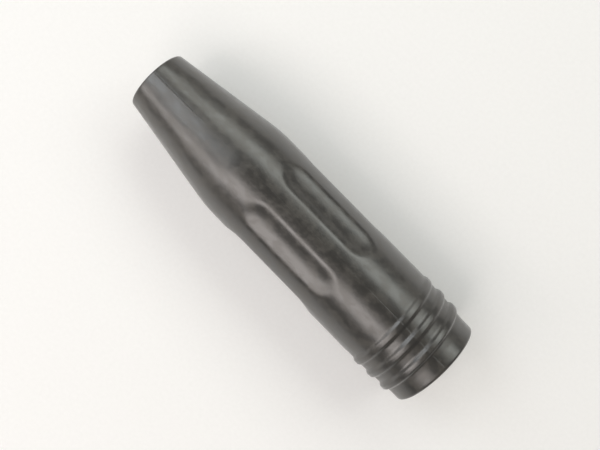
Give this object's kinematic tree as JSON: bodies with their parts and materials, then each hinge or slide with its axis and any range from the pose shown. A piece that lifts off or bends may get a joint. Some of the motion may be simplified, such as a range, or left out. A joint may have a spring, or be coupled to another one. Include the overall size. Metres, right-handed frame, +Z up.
{
  "type": "welding torch barrel",
  "caption": "Tapered fluted grip barrel of a welding torch lead with a coarse outer thread, a sliding brass connector core, a captive lock ring and sprung control pins.",
  "frame": {"origin": "centre of the bounding box's base, on the surface that the barrel lies on", "axes": "+X along the barrel from the small nose to the threaded mouth, +Z up"},
  "size_m": [0.1442, 0.0402, 0.0402],
  "materials": {
    "moulded_black": "satin black moulded plastic, lightly scuffed",
    "black_rubber": "plain black rubber",
    "spring_steel": "bright spring steel",
    "plain_steel": "turned steel",
    "dark_steel": "blackened steel",
    "turned_brass": "turned brass",
    "brown_phenolic": "brown phenolic moulding",
    "natural_nylon": "natural nylon",
    "filled_nylon": "dark glass-filled nylon",
    "lead_sheath": "red wire sheath",
    "splice_sleeve": "blue crimp sleeve"
  },
  "bodies": {
    "sleeve": {"grip_sleeve": "moulded_black", "cable_bush": "black_rubber", "bush_clip": "spring_steel"},
    "core": {"cable_socket": "turned_brass", "clamp_screws": "dark_steel", "socket_insulator": "brown_phenolic", "conductor_stem": "turned_brass", "lock_washer": "spring_steel", "stem_nut": "turned_brass", "centring_disc": "natural_nylon", "disc_clip": "spring_steel", "wire_guide": "plain_steel", "plug_body": "turned_brass", "plug_seals": "black_rubber", "plug_nut": "plain_steel", "pin_carrier": "brown_phenolic", "thrust_washer": "natural_nylon", "ring_clip": "spring_steel", "pin_terminals": "turned_brass", "control_leads": "lead_sheath", "lead_splices": "splice_sleeve", "pin_spring_left": "spring_steel", "pin_spring_right": "spring_steel"},
    "lock_ring": {"lock_ring": "filled_nylon"},
    "control_pin_left": {"control_pin_left": "turned_brass"},
    "control_pin_right": {"control_pin_right": "turned_brass"}
  },
  "joints": [
    {"name": "core_travel", "type": "slide", "parent": "sleeve", "child": "core", "axis": [1, 0, 0], "range_m": [0, 0.01625]},
    {"name": "lock_ring_turn", "type": "hinge", "parent": "core", "child": "lock_ring", "pos_m": [0.0543, 0, 0.0201], "axis": [1, 0, 0], "range_deg": [0, 900.1]},
    {"name": "control_pin_left_travel", "type": "slide", "parent": "core", "child": "control_pin_left", "axis": [-1, 0, 0], "range_m": [0, 0.0025], "stiffness_N_per_m": 200, "springref_m": -0.0005, "deforming": ["pin_spring_left"]},
    {"name": "control_pin_right_travel", "type": "slide", "parent": "core", "child": "control_pin_right", "axis": [-1, 0, 0], "range_m": [0, 0.0025], "stiffness_N_per_m": 200, "springref_m": -0.0005, "deforming": ["pin_spring_right"]}
  ],
  "couplings": [
    {"joint": "lock_ring_turn", "follows": "core_travel", "rad_per_m": 966.64}
  ]
}
